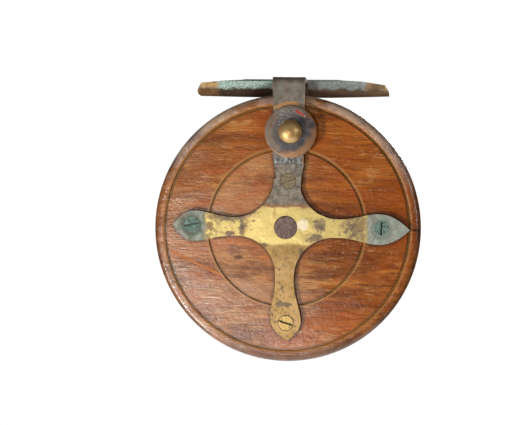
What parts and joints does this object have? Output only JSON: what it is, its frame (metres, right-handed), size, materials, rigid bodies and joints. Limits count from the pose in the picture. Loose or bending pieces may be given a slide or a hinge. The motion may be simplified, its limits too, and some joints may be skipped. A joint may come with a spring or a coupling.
{
  "type": "centrepin fishing reel",
  "caption": "Wooden centrepin fishing reel with a brass star back, a saddle foot on a strap for the rod, a free-turning drum with horn handles and a thumb-screw drag brake.",
  "frame": {"origin": "on the axis of the rod, at the middle of the foot's length", "axes": "+X along the rod, +Z from the spindle up to the rod, +Y from the star back to the handles"},
  "size_m": [0.1274, 0.0819, 0.1367],
  "materials": {
    "back_wood": "old varnished hardwood, worn",
    "drum_wood": "old varnished hardwood",
    "star_brass": "polished in the middle, tarnished on the arms",
    "strap_brass": "dark brown patina with worn edges",
    "foot_brass": "green verdigris with worn ends",
    "screw_brass": "worn satin",
    "spindle_steel": "brown rust",
    "pin_steel": "dull",
    "bearing_brass": "turned",
    "plate_brass": "satin",
    "horn": "polished dark horn",
    "disc_bronze": "dark slate patina with copper wear at the rim",
    "dome_brass": "polished olive gold",
    "brake_leather": "oiled"
  },
  "bodies": {
    "root": {"back_plate": "back_wood", "star_frame": "star_brass", "star_screws": "screw_brass", "foot_strap": "strap_brass", "foot": "foot_brass", "foot_rivets": "foot_brass", "spindle": "spindle_steel", "spindle_shim": "bearing_brass", "spindle_washer": "bearing_brass", "spindle_nut": "plate_brass", "brake_bush": "bearing_brass"},
    "drum": {"drum_rear_flange": "drum_wood", "drum_core": "drum_wood", "drum_front_flange": "drum_wood", "flange_screws": "screw_brass", "drum_bush": "bearing_brass", "rear_bush_plate": "plate_brass", "front_bush_plate": "plate_brass", "bush_plate_screws": "screw_brass", "handle_plates": "plate_brass", "handle_plate_screws": "screw_brass", "handle_pins": "pin_steel", "handle_caps": "bearing_brass"},
    "knob_a": {"handle_knob_a": "horn"},
    "knob_b": {"handle_knob_b": "horn"},
    "brake_pad": {"brake_cup": "bearing_brass", "brake_leather": "brake_leather"},
    "brake_knob": {"brake_disc": "disc_bronze", "brake_dome": "dome_brass", "brake_screw": "pin_steel"}
  },
  "joints": [
    {"name": "drum_spin", "type": "hinge", "parent": "root", "child": "drum", "pos_m": [0, -0.004, -0.0782], "axis": [0, 1, 0], "continuous": true},
    {"name": "knob_a_spin", "type": "hinge", "parent": "drum", "child": "knob_a", "pos_m": [0.042, 0.0295, -0.0782], "axis": [0, 1, 0], "continuous": true},
    {"name": "knob_b_spin", "type": "hinge", "parent": "drum", "child": "knob_b", "pos_m": [-0.042, 0.0295, -0.0782], "axis": [0, 1, 0], "continuous": true},
    {"name": "brake_slide", "type": "slide", "parent": "root", "child": "brake_pad", "axis": [0, 1, 0], "range_m": [0, 0.0006]},
    {"name": "brake_knob_turn", "type": "hinge", "parent": "brake_pad", "child": "brake_knob", "pos_m": [0.0015, -0.032, -0.033], "axis": [0, 1, 0], "range_deg": [0, 270]}
  ],
  "couplings": [
    {"joint": "brake_slide", "follows": "brake_knob_turn", "m_per_rad": 0.000127}
  ]
}
